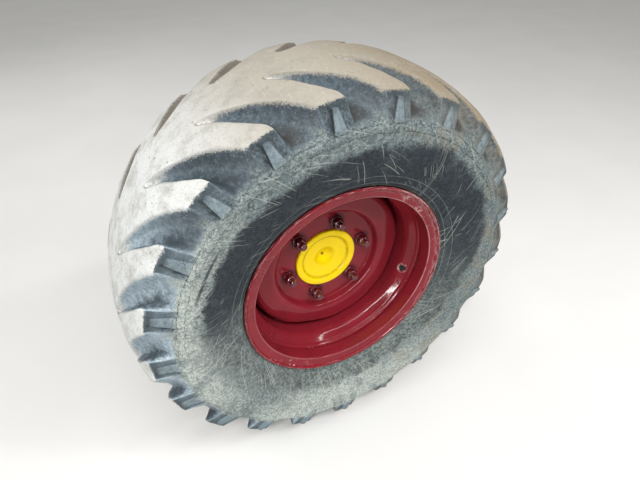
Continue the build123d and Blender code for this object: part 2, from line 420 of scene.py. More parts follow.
def tyre_rubber():
    """Vulcanised natural rubber, moulded, then worn: matt, slate dark where clean, grey where dusty;
    painted shade in the grooves' corners and on the lugs' ends.
    """
    tint = bpy.context.scene.wheel_colours
    material, tree, shader, where = new_material("worn_vulcanised_rubber")
    x, y, z = add(tree, "ShaderNodeSeparateXYZ", {0: where}).outputs[:]
    # corner carries painted shade and line a painted shadow line, set on the tyre's grid and the bars
    worn, hollow, corner, bar, tip, shadow_line = (
        add(tree, "ShaderNodeAttribute", attribute_name=name).outputs["Fac"]
        for name in ("worn", "hollow", "corner", "bar", "tip", "line"))
    radius, angle = around_axle(tree, where)
    blotch = specks(tree, where, 42, 6.0, 0.7)
    mottle = specks(tree, where, 14, 6.0, 0.72)
    grit = specks(tree, where, 3.6, 3.0, 0.75)
    low = ramp(tree, z, *LOW)
    right = ramp(tree, x, *RIGHT)
    left = ramp(tree, x, *LEFT)

    # sidewall: dark rubber, cloudy bloom, dustier towards the ground, moulded lines round the rim
    dark = speckled(tree, where, 6, "#1A2127", "#333C43", 0.36, 0.68)
    dark = layer(tree, ramp(tree, blotch, 0.50, 0.74, 0.0, 0.5), dark, "#505A5E")
    dusty = speckled(tree, where, 7, "#525C5B", "#8E9892")
    dark = layer(tree, times(tree, low, ramp(tree, blotch, 0.30, 0.62, 0.35, 0.95)), dark, dusty)
    haze = times(tree, ramp(tree, x, *HAZE_LEFT), ramp(tree, z, *HAZE_LOW))
    hazy = speckled(tree, where, 7, "#525B5B", "#8A9491", 0.38, 0.64)
    dark = layer(tree, times(tree, haze, ramp(tree, blotch, 0.35, 0.60, 0.3, 0.8)), dark, hazy)
    rings = most(tree, *[band(tree, radius, *ring) for ring in SIDEWALL_RINGS])
    dark = layer(tree, times(tree, rings, ramp(tree, mottle, 0.35, 0.6, 0.15, 0.6)), dark, "#8A938F")
    seam = times(tree, band(tree, radius, *RIM_SEAM), ramp(tree, mottle, 0.32, 0.5, 0.3, 0.8))
    dark = layer(tree, seam, dark, "#8B8670")

    # shoulder: dusty band, palest low and left, split by a network of cracks
    pale = speckled(tree, where, 5, "#4F5A5B", "#8F9A97", 0.38, 0.64)
    chalk = speckled(tree, where, 5, "#87928F", "#C9D0C8", 0.36, 0.62)
    pale = layer(tree, most(tree, left, ramp(tree, z, *BOTTOM)), pale, chalk)
    pale = layer(tree, ramp(tree, blotch, 0.46, 0.66, 0.0, 0.55), pale, "#59666A")
    pale = layer(tree, times(tree, right, ramp(tree, blotch, 0.50, 0.40, 0.0, 0.55)), pale, "#817969")

    # lug ends: slate, painted shade under the tread's edge and beside the bar, and painted light making
    # the bar's back paler
    slate = speckled(tree, where, 5, "#333D42", "#66737A", 0.36, 0.66)
    blue = times(tree, ramp(tree, x, *BLUE_LEFT), ramp(tree, z, *BLUE_LOW))
    slate = layer(tree, times(tree, most(tree, left, blue), 0.5), slate, "#74868F")
    # painted shade beside the bar and in the lug end's corners
    deep = ramp(tree, plus(tree, corner, times(tree, grit, 0.3)), 0.3, 1.0, 0.0, 0.8)
    slate = layer(tree, times(tree, deep, ramp(tree, right, 0, 1, 1.0, 0.6)), slate, "#1E2528")
    # painted light: the bar's back paler, except on its steep side
    body = speckled(tree, where, 9, "#64737A", "#8A999E", 0.30, 0.70)
    body = layer(tree, times(tree, blue, 0.8), body, "#7F929C")
    slate = layer(tree, times(tree, right, 0.45), slate, "#8B8C84")
    slate = layer(tree, times(tree, bar, ramp(tree, corner, 0.7, 0.3), 0.9), slate, body)
    # painted shade under the tread's edge
    slate = layer(tree, ramp(tree, radius, *SHADE_UNDER_TREAD, 0.0, 0.6), slate, "#2A3338")
    ends = ramp(tree, plus(tree, radius, sway(tree, mottle, 0.03)), *LUG_ENDS)
    pale = layer(tree, times(tree, ends, ramp(tree, hollow, 0.3, 0.05)), pale, slate)

    # cracks in the shoulder, and two dark lines where it bends
    split = times(
        tree, cracks(tree, where, 26, 0.028), ramp(tree, blotch, 0.40, 0.54),
        ramp(tree, radius, *CRACKED))
    wobble = sway(tree, blotch, 0.02)
    for ring in SHOULDER_RINGS:
        line = band(tree, plus(tree, radius, wobble), *ring)
        split = most(tree, split, times(tree, line, ramp(tree, mottle, 0.40, 0.56)))
    split = times(tree, split, ramp(tree, z, *CRACKS_HIGH, 0.35, 1.0))
    pale = layer(tree, times(tree, split, 0.75), pale, "#22292A")

    # the shoulder's dust ends raggedly, lower on the wheel nearer to the rim, and softly in the haze
    ragged = plus(tree, sway(tree, blotch, 0.06), sway(tree, grit, 0.03))
    high = times(tree, ramp(tree, x, *BARE_RIGHT), ramp(tree, z, *BARE_HIGH), DUST_HIGHER)
    edge = less(tree, plus(tree, radius, ragged, times(tree, low, DUST_LOWER)), high)
    begin, full = SHOULDER_DUST
    soft = times(tree, haze, DUST_SPREAD)
    edge = ramp(tree, edge, less(tree, begin, soft), plus(tree, full, soft))
    colour = layer(tree, edge, dark, pale)

    # one cut along the outer sidewall's upper left, open and dark
    outside = ramp(tree, y, *OUTSIDE)
    along = off(tree, angle, radians(SIDE_CUT_ANGLE))
    slit = times(
        tree, band(tree, plus(tree, radius, times(tree, wobble, 0.35)), *SIDE_CUT),
        ramp(tree, along, radians(SIDE_CUT_REACH), radians(SIDE_CUT_FULL)),
        outside, ramp(tree, mottle, 0.30, 0.46, 0.4, 0.9))
    colour = layer(tree, slit, colour, "#2B3334")

    # groove floors and lug sides: slate, icy where rubbed, brownish towards +X, painted shade in the
    # corners
    flank = speckled(tree, where, 9, "#3C484F", "#66747D", 0.34, 0.68)
    flank = layer(tree, ramp(tree, mottle, 0.46, 0.70, 0.0, 0.5), flank, "#84929B")
    flank = layer(tree, ramp(tree, grit, 0.60, 0.70, 0.0, 0.6), flank, "#B4BEC6")
    icy = speckled(tree, where, 8, "#8FA5B3", "#C6D6E0", 0.34, 0.66)
    icy = layer(tree, ramp(tree, grit, 0.56, 0.66, 0.0, 0.8), icy, "#E9EFF1")
    cold = most(tree, ramp(tree, x, *ICY_LEFT), blue)
    flank = layer(tree, most(tree, times(tree, cold, 0.9), times(tree, low, 0.5)), flank, icy)
    brown = speckled(tree, where, 6, "#464E4E", "#7E8078", 0.36, 0.66)
    brown = layer(tree, ramp(tree, blotch, 0.52, 0.40, 0.0, 0.5), brown, "#837969")
    flank = layer(tree, times(tree, right, 0.85), flank, brown)
    # painted shade in the grooves' corners: slate dark, and brown with soil deeper in the grooves on the
    # right
    shade_and_soil = times(tree, ramp(tree, radius, *GROOVE_SOIL), ramp(tree, x, *SOIL_RIGHT))
    shade_and_soil = layer(tree, shade_and_soil, "#28323A", "#35322D")
    shade = plus(tree, corner, sway(tree, mottle, 1.3))
    from_shade = ramp(tree, cold, 0, 1, 0.22, 0.38)
    shade = ramp(tree, shade, from_shade, plus(tree, from_shade, 0.65), 0.0, 0.88)
    flank = layer(tree, shade, flank, shade_and_soil)
    cream = speckled(tree, where, 6, "#A9B0B2", "#E6E0D4", 0.36, 0.60)
    at_tip = ramp(tree, plus(tree, tip, sway(tree, mottle, 1.2)), 0.2, 0.8, 0.0, 0.85)
    flank = layer(tree, at_tip, flank, cream)
    far = ramp(tree, y, *FAR_SIDE)
    flank = layer(tree, times(tree, far, ramp(tree, blotch, 0.3, 0.6, 0.7, 0.95)), flank, "#8E867B")
    settled = ramp(tree, plus(tree, radius, sway(tree, blotch, 0.05)), *GROOVES_SETTLED)
    settled = most(tree, settled, ramp(tree, corner, 0.1, 0.5))
    groove = times(tree, ramp(tree, hollow, 0.0, 0.03), ramp(tree, radius, *GROOVES), settled)
    colour = layer(tree, groove, colour, flank)

    # worn tread: pale dust pressed into the rubber, white towards -X, tan towards +X
    dust = layer(tree, ramp(tree, x, *WHITE_TO_DUST), "#E9EBE9", (*tint.dust, 1))
    dust = layer(tree, ramp(tree, x, *DUST_TO_TAN), dust, "#8F8069")
    dust = layer(tree, ramp(tree, blotch, 0.42, 0.68, 0.0, 0.5), dust, "#9B968C")
    dust = layer(tree, ramp(tree, grit, 0.54, 0.66, 0.0, 0.45), dust, "#8C8A86")
    drawn_out = add(tree, "ShaderNodeMapping", {"Vector": where, "Scale": (1.0, 0.14, 1.0)}).outputs[0]
    streak = specks(tree, drawn_out, 4, 3.0, 0.6)
    dust = layer(tree, ramp(tree, streak, 0.54, 0.74, 0.0, 0.16), dust, "#F0EFEA")
    pits = ramp(tree, specks(tree, where, 8, 2.0, 0.5), 0.69, 0.74)
    dust = layer(tree, times(tree, pits, 0.6), dust, "#6B6863")
    ragged = plus(tree, sway(tree, grit, 1.6), sway(tree, mottle, 0.9))
    breakup = plus(tree, worn, times(tree, ragged, ramp(tree, worn, 1.0, 0.9)))
    colour = layer(tree, ramp(tree, breakup, 0.3, 0.8), colour, dust)
    # painted shadow line along each groove's lower edge
    shadow_line = times(tree, shadow_line, ramp(tree, mottle, 0.30, 0.46, 0.4, 0.8))
    colour = layer(tree, shadow_line, colour, "#51463B")

    hair = scratches(tree, where, (-1.1, -2.2, -0.4), 0.52)
    on_side = times(tree, ramp(tree, radius, *SCRATCHED), outside)
    colour = layer(tree, times(tree, hair, on_side, 0.55), colour, "#B4B8B3")

    height = plus(tree, times(tree, mottle, 0.3), times(tree, grit, 0.5))
    height = less(tree, height, times(tree, plus(tree, split, slit), 0.3))
    height = plus(tree, height, times(tree, rings, 0.3))
    bump = add(tree, "ShaderNodeBump", {"Strength": 0.4, "Distance": 1.6 * MM, "Height": height})
    feed(tree, shader, {
        "Base Color": colour, "Roughness": ramp(tree, mottle, 0.3, 0.7, 0.70, 0.92),
        "Normal": bump.outputs[0], "IOR": 1.52, "Specular IOR Level": 0.3})
    return material


def enamel(name, colour, dirt_code, film=0.12, shade=0.84, gloss=0.2):
    """Brushed-on alkyd enamel over steel: deep gloss with soft waves and a little dust."""
    material, tree, shader, where = new_material(name)
    cloud = specks(tree, where, 70, 4.0, 0.55)
    fine = specks(tree, where, 6, 5.0, 0.6)
    base = layer(
        tree, ramp(tree, cloud, 0.35, 0.7), (*colour, 1), (*[c * shade for c in colour], 1))
    dust = times(tree, ramp(tree, cloud, 0.48, 0.75), ramp(tree, fine, 0.45, 0.8), film)
    wave = add(tree, "ShaderNodeBump", {
        "Strength": 0.14, "Distance": 1.0 * MM, "Height": specks(tree, where, 16, 3.0, 0.5)})
    feed(tree, shader, {
        "Base Color": layer(tree, dust, base, dirt_code),
        "Roughness": ramp(tree, fine, 0.3, 0.8, 0.06, 0.18),
        "Normal": wave.outputs[0], "IOR": 1.5, "Specular IOR Level": gloss})
    return material


def reopened(material):
    """A material's tree, shader and place on the piece, and what feeds its colour and roughness."""
    tree = material.node_tree
    shader = next(node for node in tree.nodes if node.type == "BSDF_PRINCIPLED")
    where = next(node for node in tree.nodes if node.type == "TEX_COORD").outputs["Object"]
    base, rough = (shader.inputs[key].links[0].from_socket for key in ("Base Color", "Roughness"))
    return tree, shader, where, base, rough


def stud_distance(tree, radius, angle):
    """Distance to the nearest stud, by folding the angle into one stud's share of the circle."""
    share = radians(STUD_STEP)
    turned = plus(tree, angle, radians(360 + STUD_STEP / 2 - STUD_PHASE))
    folded = less(tree, reckon(tree, "MODULO", turned, share), share / 2)
    square = less(
        tree, plus(tree, times(tree, radius, radius), STUD_CIRCLE ** 2),
        times(tree, radius, reckon(tree, "COSINE", folded), 2 * STUD_CIRCLE))
    return reckon(tree, "SQRT", most(tree, square, 0.0))


# Marks on the rim, in metres: radius where each begins and is full, or (radius, half width)
FLANGE = (0.224, 0.230)
LIP_EDGE, LIP_WIDE = (0.2480, 0.2525), (0.2360, 0.2500)
FLANGE_CORNER = (0.2276, 0.0016)
RIM_FRONT = (0.016, 0.010)      # depth in from the lip
# painted shade round the studs, partly oil grime
STUD_SHADE = (0.027, 0.017)     # distance from a stud
VALVE_RING = (0.0108, 0.0040)   # distance from the valve hole's middle
# Angles in degrees
RUBBED_MOST, RUBBED_REACH, RUBBED_FULL = 22, 75, 30
SCUFFED_UPPER, SCUFFED_LEFT, SCUFFED_HALF = 42, -128, 24


def chipped_enamel(name, colour):
    """The wheel's maroon enamel, rubbed through on the rim's lip and scuffed by stones on the flange,
    with painted shade round the studs.
    """
    material = enamel(name, colour, "#A98A86")
    tree, shader, where, base, rough = reopened(material)
    depth = less(tree, add(tree, "ShaderNodeSeparateXYZ", {0: where}).outputs[1], LIP_Y)
    radius, angle = around_axle(tree, where)
    flake = specks(tree, where, 9, 6.0, 0.7)
    patch = specks(tree, where, 45, 3.0, 0.6)
    front = ramp(tree, depth, *RIM_FRONT)
    flange = ramp(tree, radius, *FLANGE)
    # lip: rubbed round its edge, most on the right
    around = add(
        tree, "ShaderNodeCombineXYZ", {0: times(tree, angle, 0.03), 1: depth, 2: radius}).outputs[0]
    rubbed = specks(tree, around, 2.6, 4.0, 0.7)
    right = off(tree, angle, radians(RUBBED_MOST))
    right = ramp(tree, right, radians(RUBBED_REACH), radians(RUBBED_FULL))
    lip = times(tree, ramp(tree, radius, *LIP_EDGE), ramp(tree, rubbed, 0.52, 0.62), front, 0.55)
    wide = times(
        tree, ramp(tree, radius, *LIP_WIDE), ramp(tree, rubbed, 0.46, 0.60), front, right, 0.6)
    # inner corner of the flange: a dusty line, strongest on the right
    ring = times(
        tree, band(tree, radius, *FLANGE_CORNER), ramp(tree, patch, 0.34, 0.50, 0.3, 1.0), front,
        ramp(tree, right, 0, 1, 0.2, 0.6))
    # scuffs: upper right of the flange, and a few at the lower left
    left, upper = (
        band(tree, angle, radians(middle), radians(SCUFFED_HALF))
        for middle in (SCUFFED_LEFT, SCUFFED_UPPER))
    left = times(tree, left, ramp(tree, flake, 0.57, 0.62))
    upper = times(tree, upper, ramp(tree, flake, 0.50, 0.57))
    scuff = most(tree, upper, left)
    scuff = times(tree, scuff, ramp(tree, patch, 0.44, 0.58), flange, front, 0.8)
    hair = times(tree, scratches(tree, where, (0.5, -1.2), 0.58), flange, 0.25)
    # bare ring left round the valve hole
    mouth = on_axle(VALVE_RADIUS, VALVE_DEPTH, VALVE_ANGLE)
    hole = add(
        tree, "ShaderNodeVectorMath", {0: where, 1: mouth}, operation="DISTANCE").outputs["Value"]
    bare = times(tree, band(tree, hole, *VALVE_RING), ramp(tree, flake, 0.45, 0.55))
    chips = most(tree, lip, wide, ring, scuff, hair, bare)
    # painted shade round the studs, partly oil grime
    painted_shade = ramp(tree, stud_distance(tree, radius, angle), *STUD_SHADE, 0.0, 0.75)
    base = layer(tree, painted_shade, base, "#3B0D14")
    feed(tree, shader, {
        "Base Color": layer(tree, chips, base, "#C9A8A6"),
        "Roughness": most(tree, rough, times(tree, chips, 0.6))})
    return material


# Painted shade on the cap, in metres: in its ring's corner, round the centre hole and on the dimple
CAP_CORNER_SHADE = (0.0605, 0.0046)
CAP_HOLE_SHADE = (0.0058, 0.0030)
CAP_DIMPLE_SHADE = (0.024, 0.006)


def cap_enamel(name, colour):
    """Fresh yellow enamel of the cap, with painted shade in the corner of its ring, on the dimple and
    round the centre.
    """
    material = enamel(name, colour, "#C9B458", 0.05, 0.96)
    tree, shader, where, base, _ = reopened(material)
    radius, _ = around_axle(tree, where)
    smear = specks(tree, where, 12, 3.0, 0.6)
    # painted shade in the ring's corner, round the centre hole and on the dimple
    corner = times(tree, band(tree, radius, *CAP_CORNER_SHADE), ramp(tree, smear, 0.3, 0.6, 0.2, 0.5))
    centre = times(tree, ramp(tree, radius, *CAP_HOLE_SHADE), 0.85)
    dimple = times(tree, band(tree, radius, *CAP_DIMPLE_SHADE), 0.15)
    painted_shade = most(tree, corner, centre, dimple)
    feed(tree, shader, {"Base Color": layer(tree, painted_shade, base, "#9C7408")})
    return material


def plain_rubber():
    """Moulded EPDM of the valve: near black, matt, faintly grainy."""
    material, tree, shader, where = new_material("moulded_valve_rubber")
    grain = ramp(tree, specks(tree, where, 1.5, 3.0), 0.3, 0.8)
    feed(tree, shader, {"Base Color": layer(tree, grain, "#141414", "#35322E"), "Roughness": 0.75})
    return material


TURNING_MM = 1.11         # from one turning mark to the next, coarse enough to show


def turned_steel():
    """Machined steel shaft end: bright, fine turning marks, a trace of rust."""
    material, tree, shader, where = new_material("turned_bare_steel")
    radius, _ = around_axle(tree, where)
    by_radius = add(tree, "ShaderNodeCombineXYZ", {0: radius}).outputs[0]
    marks = specks(tree, by_radius, TURNING_MM, 2.0, 0.5)
    rust = ramp(tree, specks(tree, where, 30, 6.0, 0.7), 0.52, 0.66)
    colour = layer(tree, marks, "#8E8E8C", "#A9A8A4")
    feed(tree, shader, {
        "Base Color": layer(tree, times(tree, rust, 0.7), colour, "#6B3E22"),
        "Roughness": ramp(tree, rust, 0, 1, 0.32, 0.8), "Metallic": 0.9})
    return material


def dress(obj, material):
    obj.data.materials.clear()
    obj.data.materials.append(material)


def paint_of(name):
    """Each paint is made once and shared."""
    found = bpy.data.materials.get(name)
    if found:
        return found
    tint = bpy.context.scene.wheel_colours
    if name == "maroon_enamel":
        return chipped_enamel(name, tint.maroon)
    # darker copy of the maroon on studs and nuts: painted shade, partly oil grime
    if name == "grimy_shaded_maroon_enamel":
        return enamel(name, [c * 0.45 for c in tint.maroon], "#6B5552", gloss=0.6)
    if name == "dusty_yellow_enamel":
        return enamel(name, tint.yellow, "#8C7A4A", 0.55, 0.90)
    return cap_enamel(name, tint.yellow)


# Tyre

# Half sections from the middle plane outward, in mm: (distance, radius)
TOP_LINE = [
    (0, 485.3), (42, 484), (86, 478.5), (120, 471.5), (142, 464), (153, 458.5), (157.5, 455.6)]
SHOULDER_TOP = [(160.6, 452), (162.9, 446), (168, 431.5), (173.6, 416), (178.8, 403), (181.8, 396.5)]
FLOOR_LINE = [
    (0, 485.3), (40, 484), (46, 479), (54, 472), (80, 462), (113, 446), (144, 428), (157.5, 420)]
SHOULDER_FLOOR = [
    (162, 416.5), (165.5, 412), (170, 407), (175, 402.3), (179.6, 398.6), (181.8, 396.3)]
SIDEWALL = [
    (183.1, 392), (183.3, 387.5), (182.3, 383.4), (181.2, 380), (181.6, 371), (181.8, 360),
    (181.0, 348), (179, 335), (175.3, 321), (170.6, 307.5), (165.4, 295), (160.5, 284.5),
    (157, 276), (153.5, 267), (150.3, 261), (147.2, 257), (143, 254.3), (139, 251),
    (136.6, 243), (135.2, 235), (135, 230.4)]
INSIDE = [
    (119, 230.4), (109, 230.4), (111, 242), (127, 264), (147, 300), (160, 345), (160, 378),
    (147, 402), (118, 426), (88, 443), (50, 449)]
# Distances of the tread's rows: in the smooth middle, then along the grooves
GROOVE_TIP = 40
TREAD_ROWS = [0, 12, 24, 33, 38] + [GROOVE_TIP + 0.5 + 3.9 * k for k in range(31)]
# Edges of a groove: (distance, degrees from the lower lug's leading corner)
UPPER_EDGE = [
    (40, 11.6), (42.5, 11.0), (47.5, 9.1), (54.2, 7.4), (66.8, 4.7), (76.9, 3.0), (97.5, -1.1),
    (118, -4.3), (143.8, -7.9), (161.8, -10.4), (183, -10.9)]
LOWER_EDGE = [
    (40, 11.7), (49.8, 11.7), (79.4, 8.1), (113.5, 4.9), (134.4, 2.5), (147.1, 0.8), (160.1, 0.0),
    (183, -0.6)]
MIDDLE_SPREAD = 3.0       # degrees that a groove's columns spread in the smooth middle
# The inner side's grooves: degrees wider, mm deeper, and the mm over which both begin
FAR_WIDER, FAR_DEEPER, FAR_EASE = 1.5, 6.0, 20
# A groove's walls: (share of the wall's run, share of the depth), seven columns each
WALL = [(0.0, 0.03), (0.08, 0.10), (0.25, 0.28), (0.5, 0.54), (0.75, 0.78), (0.95, 0.93), (1.2, 1.0)]
# A wall's run is at most a share of the groove's width, and a share of its depth plus WALL_FOOT mm
UPPER_RUN, LOWER_RUN, WALL_FOOT = (0.40, 0.62), (0.30, 0.40), 2
# A lug's columns: inside each edge, at so many mm, one slightly sunk and one level; six between
EDGE_NEAR, EDGE_FAR, EDGE_SUNK = 1.6, 5.0, 0.008
LUG_COLUMNS = 6
# Painted shade in a groove's corner against the next lug: weight of each column, (distance, weight)
# along it
SHADE_COLUMNS = {
    1: 0.45, 2: 0.6, 3: 0.5, 4: 0.4, 5: 0.35, 6: 0.5, 7: 0.8, 8: 1.0, 9: 1.0, 10: 1.0, 11: 0.9,
    12: 0.7, 13: 0.3}
SHADE_ALONG = [(44, 0.0), (58, 0.45), (84, 0.75), (134, 1.0), (160, 1.0), (180, 0.0)]
# Painted shadow line, brown, along a groove's lower edge, given in the same way
SHADOW_LINE_COLUMNS = {11: 0.5, 12: 0.8, 13: 1.0, 14: 0.6}
SHADOW_LINE_ALONG = [(40.5, 0.5), (44, 0.9), (90, 0.8), (134, 0.4), (150, 0.0)]
# Painted shade on a lug's end beside its bar
# Beside a lug's end bar: (radius, degrees) of its steep side and of its gentle side, and the
# degrees over which each one's shade fades
STEEP_SIDE, STEEP_FADE = [(402, 5.35), (440, 4.45)], 0.9
GENTLE_SIDE, GENTLE_FADE = [(402, 1.0), (440, 1.9)], 0.8
LUG_END = (398, 450)      # mm, radius of a lug's end face
LUG_END_FROM = 158        # mm from the middle plane
TIP_FADE = 34             # mm over which a groove's pale tip fades
UPPER_SOFT, LOWER_SOFT = 12.0, 6.0    # mm below the tread's edge where its wear ends


def tread_rows():
    """Rows of half the tyre: top point, floor point, groove edges, and how much is tread."""
    rows = []
    for s in TREAD_ROWS:
        top = (s, between(TOP_LINE, s))
        floor = (s, min(top[1], between(FLOOR_LINE, s)))
        rows.append((top, floor, between(UPPER_EDGE, s), between(LOWER_EDGE, s), 1.0))
    for top, floor in zip(SHOULDER_TOP, SHOULDER_FLOOR):
        tread = 0.4 if top[1] > LUG_END[1] else 0.0
        rows.append((top, floor, between(UPPER_EDGE, top[0]), between(LOWER_EDGE, top[0]), tread))
    for point in SIDEWALL + INSIDE:
        rows.append((point, point, UPPER_EDGE[-1][1], LOWER_EDGE[-1][1], 0.0))
    return rows


def row_columns(row, lead):
    """(angle, depth share) of each column of one pitch in a row; lead shifts the smooth middle."""
    (s, r), (fs, fr), upper, lower, _ = row
    per_mm = degrees(1 / r)
    if s < GROOVE_TIP:
        to_middle = 1 - s / GROOVE_TIP
        middle = (upper + lower) / 2 + lead * to_middle
        upper, lower = middle - MIDDLE_SPREAD * to_middle, middle + MIDDLE_SPREAD * to_middle
        runs = [(lower - upper) / per_mm * 0.3] * 2
    else:
        width, deep = (lower - upper) / per_mm, hypot(r - fr, s - fs)
        runs = [max(0.01, min(a * width, b * deep + WALL_FOOT)) for a, b in (UPPER_RUN, LOWER_RUN)]
    out = [(upper + share * runs[0] * per_mm, depth) for share, depth in WALL]
    out += [(lower - share * runs[1] * per_mm, depth) for share, depth in reversed(WALL)]
    # lug: from this groove's lower edge to the next groove's upper edge
    near, far, end = EDGE_NEAR * per_mm, EDGE_FAR * per_mm, upper + PITCH
    out += [(lower + near, EDGE_SUNK), (lower + far, 0.0)]
    for k in range(1, LUG_COLUMNS + 1):
        out.append((lower + far + (end - lower - 2 * far) * k / (LUG_COLUMNS + 1), 0.0))
    return out + [(end - far, 0.0), (end - near, EDGE_SUNK), (end, WALL[0][1])]


def point_marks(row, column, angle, depth):
    """How hollow, worn, under painted shade, near a groove's tip and near its painted shadow line a
    point is, 0 to 1.
    """
    (s, r), (fs, fr), _, _, tread = row
    drop = hypot(r - fr, s - fs)
    lug = 2 * len(WALL)
    soft = UPPER_SOFT if column < len(WALL) or column > lug + LUG_COLUMNS else LOWER_SOFT
    worn = tread * max(0.0, 1 - depth * drop / soft)
    # weight of painted shade in a groove's corner
    dark = SHADE_COLUMNS.get(column, 0.0) * between(SHADE_ALONG, s)
    # painted shade on the lug's end beside the bar's steep and gentle sides
    if column > lug and LUG_END[0] < r < LUG_END[1] and s > LUG_END_FROM:
        steep = 1 - abs(angle - between(STEEP_SIDE, r)) / STEEP_FADE
        gentle = 1 - abs(angle - between(GENTLE_SIDE, r)) / GENTLE_FADE
        dark = max(0.0, steep, 0.55 * gentle)
    tip = line = 0.0
    if s > GROOVE_TIP:
        tip = max(0.0, 1 - (s - GROOVE_TIP) / TIP_FADE) if depth > 0.02 else 0.0
        # weight of the painted shadow line
        line = SHADOW_LINE_COLUMNS.get(column, 0.0) * between(SHADOW_LINE_ALONG, s)
    return depth if drop > 2 else 0.0, worn, dark, tip, line


def tyre_grid():
    """Rows of angle, y and radius with their marks, from the outer bead to the inner and back."""
    blocks = []
    for side in (-1, 1):
        phase = LUG_PHASE + (PITCH / 2 if side > 0 else 0)
        block = []
        for row in tread_rows():
            (s, r), (fs, fr), upper, lower, tread = row
            if side > 0 and tread and s > GROOVE_TIP:
                ease = min(1.0, (s - GROOVE_TIP) / FAR_EASE)
                fr -= FAR_DEEPER * ease
                row = ((s, r), (fs, fr), upper, lower + FAR_WIDER * ease, tread)
            ring = []
            for column, (angle, depth) in enumerate(row_columns(row, -side * PITCH / 4)):
                y = WHEEL_Y / MM + side * (s + (fs - s) * depth)
                marks = point_marks(row, column, angle, depth)
                ring.append((angle + phase, y, r + (fr - r) * depth, *marks))
            block.append(ring)
        blocks.append(block)
    outer, inner = blocks
    return outer[::-1] + inner[1:] + [outer[-1]]


# Unevenness that wear leaves on the rubber, in metres: where it begins, its height, and how far
# below the crown it is kept
WEAR_FROM = 0.385
WEAR_HEIGHT = 0.0011
WEAR_LUMPS = ((18.0, 0.7), (70.0, 0.5))    # (how many in a metre, share of the height)
WEAR_CLEAR = 0.0006
PITCH_MERGE = 0.02 * MM


def wear(tyre):
    """Raises and lowers the tread and shoulder in small lumps, never past the crown."""
    for v in tyre.data.vertices:
        radius = hypot(v.co.x, v.co.z)
        if radius > WEAR_FROM:
            lump = sum(noise.noise(v.co * often) * share for often, share in WEAR_LUMPS) * WEAR_HEIGHT
            scale = min(1.0, (CROWN - WEAR_CLEAR) / (radius + lump)) * (radius + lump) / radius
            v.co.x *= scale
            v.co.z *= scale


def make_tyre():
    """One pitch of the tyre on both sides, copied round, merged and worn, with the lugs' bars."""
    grid = tyre_grid()
    rows, columns = len(grid) - 1, len(grid[0]) - 1
    only(None)
    bpy.ops.mesh.primitive_grid_add(x_subdivisions=columns, y_subdivisions=rows, size=2)
    pitch = named("tyre_pitch")
    marks = []
    for v in pitch.data.vertices:
        column = round((v.co.x + 1) / 2 * columns)
        row = round((v.co.y + 1) / 2 * rows)
        angle, y, radius, *values = grid[row][column]
        a = radians(angle)
        v.co = Vector((radius * cos(a), y, radius * sin(a))) * MM
        marks.append(values)
    # corner holds the painted shade and line the painted shadow line
    for name, values in zip(("hollow", "worn", "corner", "tip", "line"), zip(*marks)):
        attribute = pitch.data.attributes.new(name, "FLOAT", "POINT")
        attribute.data.foreach_set("value", values)
    twins = [copy_turned(pitch, PITCH * k) for k in range(1, LUGS)]
    tyre = join([pitch] + twins, "worn_tyre")
    edit_all(tyre)
    bpy.ops.mesh.remove_doubles(threshold=PITCH_MERGE)
    bpy.ops.mesh.normals_make_consistent(inside=False)
    bpy.ops.object.mode_set(mode="OBJECT")
    wear(tyre)
    tyre = join([tyre, make_lug_bars()], "worn_tyre")
    soften(tyre, 40)
    return tyre


# Ends of a lug's bar in mm: distance from the middle plane, radius, half width, height
BAR_TOP = (165.6, 440, 7.8, 7.0)
BAR_FOOT = (179.8, 402, 13.5, 2.2)
BAR_ANGLE = 3.2
BAR_LEAN = 0.62           # how far the ridge leans to the bar's steep side
BAR_SUNK = 4              # mm of the bar inside the rubber
BAR_OUTWARD = (0.34, 0.94)    # the shoulder's outward way: along the radius, from the middle
BAR_ROUND = (4, -1.4)         # mm that its rounded ends reach, the same two ways


def make_lug_bars():
    """One tapered round-backed bar on a lug's end, copied to all lugs on both sides."""
    pieces = []
    for side in (-1, 1):
        phase = LUG_PHASE + (PITCH / 2 if side > 0 else 0) + BAR_ANGLE
        only(None)
        bpy.ops.mesh.primitive_uv_sphere_add(segments=24, ring_count=10, radius=1, location=(0, 0, 0))
        bar = named("lug_bar")
        steep = bar.data.attributes.new("corner", "FLOAT", "POINT")
        for v in bar.data.vertices:
            x, y, z = v.co
            s, r, half, high = BAR_TOP if z > 0.01 else BAR_FOOT
            # corner marks the bar's steep side, which gets painted shade
            steep.data[v.index].value = 1.0 if x > 0.6 else 0.0
            out = y * (high if y > 0 else BAR_SUNK)
            v.co = Vector((
                r + BAR_OUTWARD[0] * out + BAR_ROUND[0] * z,
                WHEEL_Y / MM + side * (s + BAR_OUTWARD[1] * out + BAR_ROUND[1] * z),
                half * (x + BAR_LEAN * max(0.0, y) * (1 - abs(x))))) * MM
        edit_all(bar)
        bpy.ops.mesh.normals_make_consistent(inside=False)
        bpy.ops.object.mode_set(mode="OBJECT")
        first = copy_turned(bar, phase)
        bpy.data.objects.remove(bar)
        pieces.append(first)
        pieces += [copy_turned(first, PITCH * k) for k in range(1, LUGS)]
    bars = join(pieces, "lug_bars")
    raised = bars.data.attributes.new("bar", "FLOAT", "POINT")
    raised.data.foreach_set("value", [1.0] * len(raised.data))
    return bars


class WHEEL_OT_tyre(bpy.types.Operator):
    """Worn traction tyre with lugs, end bars and sidewalls"""
    bl_idname = "wheel.tyre"
    bl_label = "Tyre"

    def execute(self, context):
        tyre = make_tyre()
        dress(tyre, tyre_rubber())
        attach(tyre, "wheel")
        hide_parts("tyre")
        return {"FINISHED"}


# Rim

